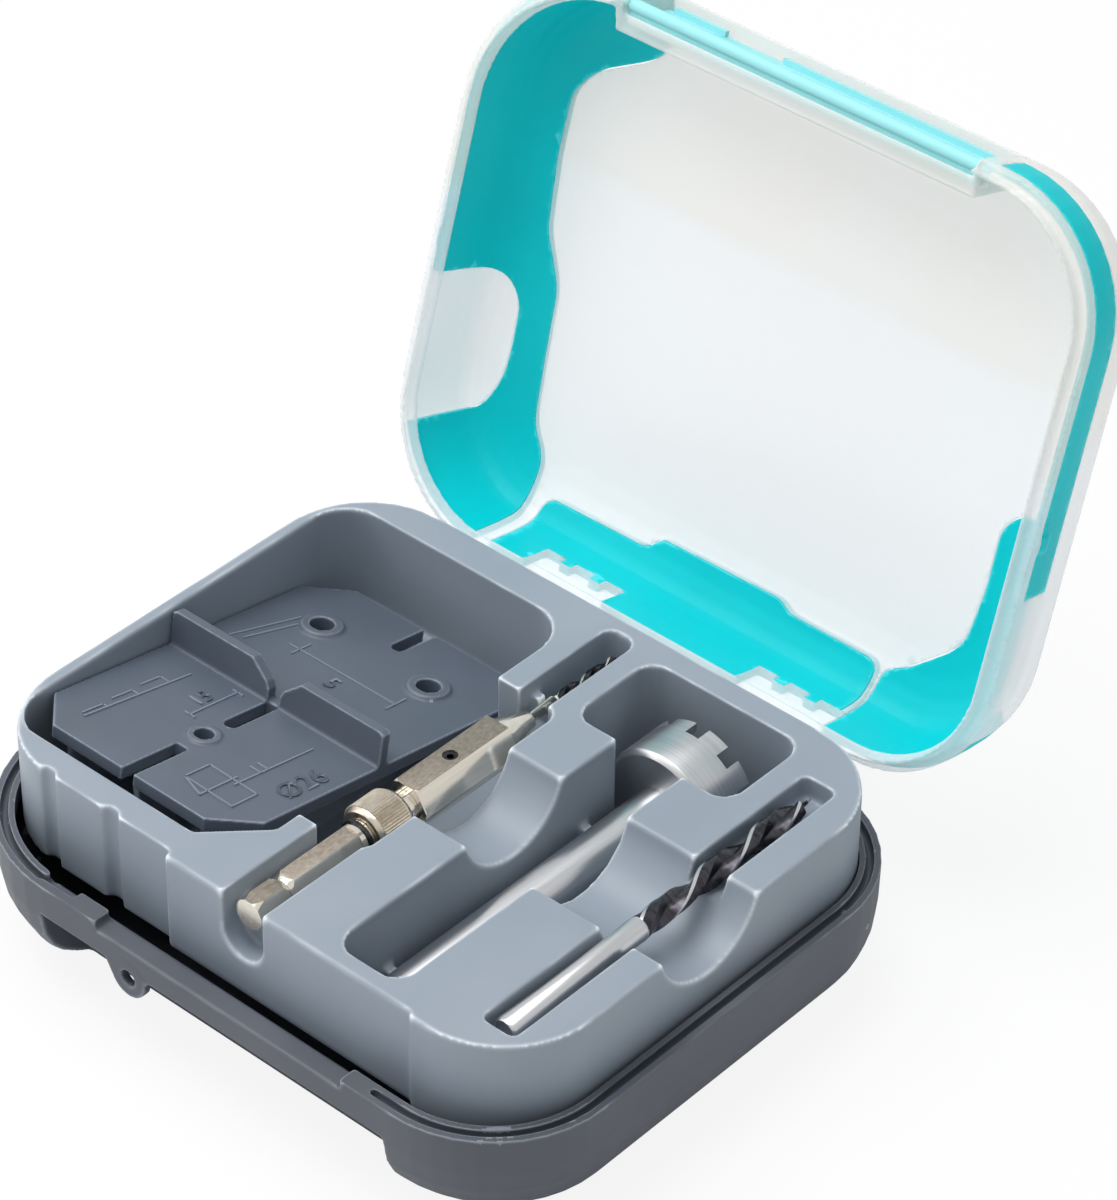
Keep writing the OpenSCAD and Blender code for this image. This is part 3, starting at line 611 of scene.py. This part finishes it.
def roundOff(outline, r):
    points = []
    for k in range(len(outline)):
        a, b, c = (Vector(outline[(k + d) % len(outline)]) for d in (-1, 0, 1))
        reach = min(r, lidSet["share"] * (a - b).length, lidSet["share"] * (c - b).length)
        start, end = b + (a - b).normalized() * reach, b + (c - b).normalized() * reach
        for step in range(lidSet["steps"]):
            t = step / (lidSet["steps"] - 1)
            points.append(start * (1 - t) ** 2 + b * 2 * t * (1 - t) + end * t**2)
    return points


def grown(points, e):
    # the outline moved outwards by e
    turn = sum(a.cross(b) for a, b in zip(points, points[1:] + points[:1]))
    out = []
    for k, p in enumerate(points):
        way = (points[(k + 1) % len(points)] - points[k - 1]).normalized()
        side = Vector((way.y, -way.x)) * (1 if turn > 0 else -1)
        out.append(p + side * e)
    return out


def prism(name, s, e):
    outline = grown(roundOff(s["outline"], lidSet["round"]), e)
    n = len(outline)
    points = [(p.x * mm, p.y * mm, z * mm) for z in (s["low"] - e, s["high"] + e) for p in outline]
    faces = [list(range(n))[::-1], list(range(n, 2 * n))]
    faces += [(k, (k + 1) % n, n + (k + 1) % n, n + k) for k in range(n)]
    piece = meshPiece(name, points, faces, smooth=False)
    piece.data.transform(toOpen(lidSet))
    return facedOut(piece, triangles=True)


def hingePlates(s):
    # clear toothed plates over both hinge combs, cut out of the teal
    joined = None
    near, far = s["deep"]
    faces = [(3, 2, 1, 0), (4, 5, 6, 7)]
    faces += [(k, (k + 1) % 4, 4 + (k + 1) % 4, 4 + k) for k in range(4)]
    for side in (-1, 1):
        middle = side * s["comb"]
        boxes = [(middle, s["wide"], s["valley"])]
        boxes += [(middle + k * s["pitch"], s["tooth"], s["top"]) for k in (-1, 0, 1)]
        for x, half, top in boxes:
            ring = ((x - half, near), (x + half, near), (x + half, far), (x - half, far))
            corners = [(a * mm, b * mm, z * mm) for z in (s["foot"], top) for a, b in ring]
            piece = meshPiece("plate", corners, faces, smooth=False)
            piece.data.transform(toOpen(lidSet))
            joined = piece if joined is None else combined(joined, piece, "UNION")
    return joined


def cutter(s, e):
    piece = prism("cutter", s, e)
    if s.get("plated"):
        combined(piece, hingePlates(lidSet["plates"]), "DIFFERENCE")
    return piece


portions = ("tealLeft", "tealRear", "tealRight", "tealFront")
lidBody = mergedCopy("lid_shell")
for name in portions:
    for node in lidSet[name]["nodes"]:
        combined(lidBody, mergedCopy(node), "UNION")
softened(lidBody, lidSet)
print("lid body:", len(lidBody.data.polygons), "faces")
for name in portions:
    s = lidSet[name]
    piece = bpy.data.objects.new(name, lidBody.data.copy())
    bpy.context.scene.collection.objects.link(piece)
    combined(piece, cutter(s, -lidSet["seam"]), "INTERSECT")
    standFor(piece, s["nodes"], "lid", "lid_teal", "teal")
    print(name, len(piece.data.polygons), "faces")
for name in portions:
    combined(lidBody, cutter(lidSet[name], lidSet["seam"]), "DIFFERENCE")
lidBody.name = "lidClear"
standFor(lidBody, ["lid_shell"], "lid", "lid_clear", "clear")
print("clear lid:", len(lidBody.data.polygons), "faces")


# ---- twist drills ----
drillSet = {
    "woodDrill": {
        "node": "wood_drill",
        "body": "drill",
        "slot": "drill_steel",
        "kinds": ("steel", "flute"),
        "axis": (59.0, 42.0),
        "from": -43.2,
        "to": 42.2,
        "radius": 2.5,
        "plain": 36.5,
        "pitch": 30.4,
        "web": 0.34,
        "tip": 4.2,
        "runOut": 7.0,
        "step": 0.55,
    },
    "pilotDrill": {
        "node": "pilot_drill",
        "body": "bit",
        "slot": "tool_steel",
        "kinds": ("nickel", "flute"),
        "axis": (2.3, 39.5),
        "from": -2,
        "to": 52,
        "radius": 1.25,
        "plain": 36.0,
        "pitch": 15.0,
        "web": 0.3,
        "tip": 1.6,
        "runOut": 3.0,
        "step": 0.4,
    },
}


fluteSet = {
    "margin": 0.3,
    "land": 1.15,
    "relief": 0.06,
    "fullness": 0.75,
    "steps": 64,
    "fluteShadeFrom": 0.32,  # angle of the section at which the painted shade of the flute starts
    "sharp": 50,
}


def fluteRadius(u, depth, web):
    # one half turn of the section: margin, relieved land, flute
    if u < fluteSet["margin"]:
        return 1.0
    if u < fluteSet["land"]:
        return 1 - fluteSet["relief"] * depth
    t = (u - fluteSet["land"]) / (math.pi - fluteSet["land"])
    return 1 - (1 - web) * depth * math.sin(math.pi * t) ** fluteSet["fullness"]


def twistDrill(name, s):
    steps = fluteSet["steps"]
    x0, z0 = s["axis"]
    start, end = s["from"], s["to"]
    fluted = start + s["plain"]
    # each ring: place along the axis, share of the radius, share of the flute's depth
    rings = [(start, 0.82, 0), (start + 0.6, 1, 0), (fluted - 0.6, 1, 0), (fluted, 0.94, 0)]
    y = fluted
    shoulder = end - s["tip"]
    while y < shoulder:
        rings.append((y, 0.97 if y < fluted + 0.5 else 1, min(1, (y - fluted) / s["runOut"])))
        y += s["step"]
    rings += [(shoulder, 1, 1), (shoulder + 0.1 * s["tip"], 0.62, 1)]
    rings += [(shoulder + 0.18 * s["tip"], 0.42, 0.8), (end - 0.3 * s["tip"], 0.2, 0.3)]
    rings.append((end, 0.03, 0))
    points, faces, kinds = [], [], []
    for y, size, depth in rings:
        twist = 2 * math.pi * (y - fluted) / s["pitch"]
        for k in range(steps):
            u = 2 * math.pi * k / steps
            r = s["radius"] * size * fluteRadius(u % math.pi, depth, s["web"])
            a = u - twist
            points.append(((x0 + r * math.sin(a)) * mm, y * mm, (z0 + r * math.cos(a)) * mm))
    for i in range(len(rings) - 1):
        for k in range(steps):
            n = (k + 1) % steps
            faces.append((i * steps + k, i * steps + n, (i + 1) * steps + n, (i + 1) * steps + k))
            u = 2 * math.pi * (k + 0.5) / steps % math.pi
            # flute faces take the darker steel, a painted shade in the flutes
            inFlute = rings[i + 1][2] > 0 and u >= fluteSet["fluteShadeFrom"]
            kinds.append(1 if inFlute and rings[i][0] < end - 0.5 * s["tip"] else 0)
    last = (len(rings) - 1) * steps
    faces += [tuple(range(steps))[::-1], tuple(range(last, last + steps))]
    kinds += [0, 0]
    piece = facedOut(meshPiece(name, points, faces))
    standFor(piece, [s["node"]], s["body"], s["slot"], *s["kinds"])
    piece.data.polygons.foreach_set("material_index", kinds)
    piece.data.set_sharp_from_angle(angle=math.radians(fluteSet["sharp"]))
    return piece


for name, s in drillSet.items():
    piece = twistDrill(name, s)
    print(name, len(piece.data.polygons), "faces")


# ---- knurl of the release collar, by Geometry Nodes ----
knurlSet = {
    "count": 64,
    "radius": 5.62,
    "length": 6.6,
    "width": 0.34,
    "start": -19.0,
    "axis": (2.3, 39.5),
}


def knurlTree():
    tree = bpy.data.node_groups.new("collarKnurl", "GeometryNodeTree")
    for name, kind in (
        ("Count", "NodeSocketInt"),
        ("Radius", "NodeSocketFloat"),
        ("Length", "NodeSocketFloat"),
        ("Width", "NodeSocketFloat"),
        ("Finish", "NodeSocketMaterial"),
    ):
        tree.interface.new_socket(name, in_out="INPUT", socket_type=kind)
    tree.interface.new_socket("Geometry", in_out="OUTPUT", socket_type="NodeSocketGeometry")
    node = tree.nodes.new
    link = tree.links.new
    inside, outside = node("NodeGroupInput"), node("NodeGroupOutput")
    ring = node("GeometryNodeMeshCircle")
    link(inside.outputs["Count"], ring.inputs["Vertices"])
    link(inside.outputs["Radius"], ring.inputs["Radius"])
    ridge = node("GeometryNodeMeshCylinder")
    ridge.inputs["Vertices"].default_value = 4
    link(inside.outputs["Width"], ridge.inputs["Radius"])
    link(inside.outputs["Length"], ridge.inputs["Depth"])
    spots = node("GeometryNodeInstanceOnPoints")
    link(ring.outputs["Mesh"], spots.inputs["Points"])
    link(ridge.outputs["Mesh"], spots.inputs["Instance"])
    place = node("GeometryNodeInputPosition")
    turn = node("FunctionNodeAlignRotationToVector")
    turn.axis = "X"
    turn.pivot_axis = "Z"
    link(place.outputs[0], turn.inputs["Vector"])
    link(turn.outputs[0], spots.inputs["Rotation"])
    real = node("GeometryNodeRealizeInstances")
    link(spots.outputs[0], real.inputs[0])
    paint = node("GeometryNodeSetMaterial")
    link(real.outputs[0], paint.inputs["Geometry"])
    link(inside.outputs["Finish"], paint.inputs["Material"])
    link(paint.outputs[0], outside.inputs[0])
    return tree


def makeKnurl(s):
    piece = meshPiece("collarKnurl", [], [])
    rule = piece.modifiers.new("knurl", "NODES")
    rule.node_group = knurlTree()
    values = {
        "Count": s["count"],
        "Radius": s["radius"] * mm,
        "Length": s["length"] * mm,
        "Width": s["width"] * mm,
        "Finish": finishes["knurled"],
    }
    for item in rule.node_group.interface.items_tree:
        if item.name in values:
            rule[item.identifier] = values[item.name]
    applied(piece)
    x0, z0 = s["axis"]
    middle = (s["start"] + s["length"] / 2) * mm
    lying = Matrix.Rotation(math.pi / 2, 4, "X")
    piece.data.transform(Matrix.Translation((x0 * mm, middle, z0 * mm)) @ lying)
    standFor(piece, [], "collar", "holder_steel")
    return piece


piece = makeKnurl(knurlSet)
print("knurl:", len(piece.data.polygons), "faces")


# ---- marks moulded on the template ----
markSet = {
    "front": (-44.0, 44.4),
    "slant": 10.6,
    "line": 0.5,
    "rise": 0.28,
    "sink": 0.2,
    "top": 0.7,  # share of a line's width at its top
    "bevel": 0.04,
    # strokes in millimetres across the plate and along its slant
    "strokes": [
        [(-58.5, 11.4), (-57.1, 38.3)],
        [(-59.6, 12.0), (-59.4, 17.0), (-58.6, 17.0)],
        [(-59.9, 20.0), (-59.7, 25.0), (-58.2, 25.0)],
        [(-60.2, 28.0), (-60.0, 33.0), (-57.9, 33.0)],
        [(-63.1, 55.4), (-59.3, 71.6)],
        [(-60.6, 57.0), (-57.6, 70.0)],
        [(-46.7, 27.9), (-46.8, 41.1)],
        [(-47.9, 27.9), (-45.6, 27.9)],
        [(-47.9, 41.1), (-45.6, 41.1)],
        [(-31.7, 11.6), (-25.6, 9.4), (-25.6, 19.2)],
        [(-31.8, 12.0), (-31.8, 18.3), (-19.1, 18.1), (-19, 11.3), (-31.7, 11.6)],
        [(-24.0, 17.2), (-23.7, 37.9)],
        [(-26.5, 24.0), (-24.0, 24.0)],
        [(-26.5, 26.0), (-24.0, 26.0)],
        [(-50.8, 62.6), (-25.2, 62.9)],
        [(-50.8, 60.4), (-50.8, 65.6)],
        [(-25.2, 60.4), (-25.3, 65.9)],
        [(-53.3, 62.4), (-50.8, 62.6)],
    ],
    # each number: its text, place, turn in degrees and height
    "numbers": [
        ("Ø26", (-14.2, 21.4), 90, 6.6),
        ("15", (-48.0, 31.2), 90, 5.0),
        ("5", (-39.4, 56.8), 0, 5.4),
    ],
}


def toPlate(s):
    y, z = s["front"]
    slanted = Matrix.Rotation(-math.radians(s["slant"]), 4, "X")
    return Matrix.Translation((0, y * mm, z * mm)) @ slanted


def makeStrokes(s):
    points, faces = [], []
    for line in s["strokes"]:
        for a, b in zip(line, line[1:]):
            way = Vector((b[0] - a[0], b[1] - a[1])).normalized()
            side = Vector((-way.y, way.x)) * s["line"] / 2
            ends = [Vector(a) - way * s["line"] / 2, Vector(b) + way * s["line"] / 2]
            n = len(points)
            for z, share in ((-s["sink"], 1), (s["rise"], s["top"])):
                for end, turn in ((ends[0], 1), (ends[0], -1), (ends[1], -1), (ends[1], 1)):
                    p = end + side * turn * share
                    points.append((p.x * mm, p.y * mm, z * mm))
            faces += [(n, n + 3, n + 2, n + 1), (n + 4, n + 5, n + 6, n + 7)]
            faces += [(n + k, n + (k + 1) % 4, n + 4 + (k + 1) % 4, n + 4 + k) for k in range(4)]
    piece = facedOut(meshPiece("templateLines", points, faces, smooth=False))
    piece.data.transform(toPlate(s))
    standFor(piece, [], "template", "template", "shadedMark")


def makeNumber(k, words, place, turn, size, s):
    data = bpy.data.curves.new("number", "FONT")
    data.body = words
    data.size = size * mm
    data.extrude = s["rise"] * mm
    data.bevel_depth = s["bevel"] * mm
    source = bpy.data.objects.new("number", data)
    bpy.context.scene.collection.objects.link(source)
    graph = bpy.context.evaluated_depsgraph_get()
    mesh = bpy.data.meshes.new_from_object(source.evaluated_get(graph))
    bpy.data.objects.remove(source)
    piece = bpy.data.objects.new("templateNumber%d" % k, mesh)
    bpy.context.scene.collection.objects.link(piece)
    mesh.transform(Matrix.Rotation(math.radians(turn), 4, "Z"))
    mesh.transform(toPlate(s) @ Matrix.Translation((place[0] * mm, place[1] * mm, 0)))
    standFor(piece, [], "template", "template", "shadedMark")


makeStrokes(markSet)
for k, (words, place, turn, size) in enumerate(markSet["numbers"]):
    makeNumber(k, words, place, turn, size, markSet)
print("template marks made")


# ---- round and hexagonal metal pieces: true edges, bevelled ----
metalSet = {
    "guide_body": {
        "body": "bit",
        "slot": "holder_steel",
        "bevel": 0.25,
        "kinds": ("nickel", "satin"),
    },
    "holder_shank": {
        "body": "bit",
        "slot": "holder_steel",
        "bevel": 0.06,
        "kinds": ("nickel", "satin"),
    },
    "release_collar": {
        "body": "collar",
        "slot": "holder_steel",
        "bevel": 0.2,
        "kinds": ("knurled",),
    },
    "cutter_shank": {
        "body": "cutter",
        "slot": "tool_steel",
        "bevel": 0.15,
        "kinds": ("steel",),
    },
    "cutter_head": {
        "body": "cutter",
        "slot": "tool_steel",
        "bevel": 0.12,
        "kinds": ("cup",),
    },
}
edgeSet = {
    "bevelled": 35,
    "sharp": 18,
    "segments": 2,
    "topNormal": 0.97,  # faces that look up and are wider than this area get the darker nickel, a painted shade on the top
    "topArea": 4e-6,
}


def isTop(face):
    return face.normal.z > edgeSet["topNormal"] and face.area > edgeSet["topArea"]


for node, s in metalSet.items():
    piece = flatFaced(mergedCopy(node))
    piece.name = node.split("_")[0] + node.split("_")[1].capitalize()
    edge = piece.modifiers.new("edge", "BEVEL")
    edge.width, edge.segments = s["bevel"] * mm, edgeSet["segments"]
    edge.limit_method, edge.angle_limit = "ANGLE", math.radians(edgeSet["bevelled"])
    applied(piece)
    shadeSmooth(piece)
    standFor(piece, [node], s["body"], s["slot"], *s["kinds"])
    piece.data.set_sharp_from_angle(angle=math.radians(edgeSet["sharp"]))
    # top faces take the darker nickel: a painted shade, the top darker than the bright sides
    if len(s["kinds"]) > 1:
        for face in piece.data.polygons:
            face.material_index = 1 if isTop(face) else 0
    print(node, len(piece.data.polygons), "faces")


# ---- CAD pieces that keep their mesh ----
cadFinish = {
    "hinge_pin_left": "pin",
    "hinge_pin_right": "pin",
    "latch_flap": "latch",
    "latch_pin_left": "latch",
    "latch_pin_right": "latch",
    "detent_ball": "nickel",
    "retaining_ring": "darkSteel",
    "grub_screw": "darkSteel",
    "center_point": "steel",
}
for node, finish in cadFinish.items():
    mesh = frame["nodes"][node].data
    mesh.materials.clear()
    mesh.materials.append(finishes[finish])
print("CAD nodes finished")
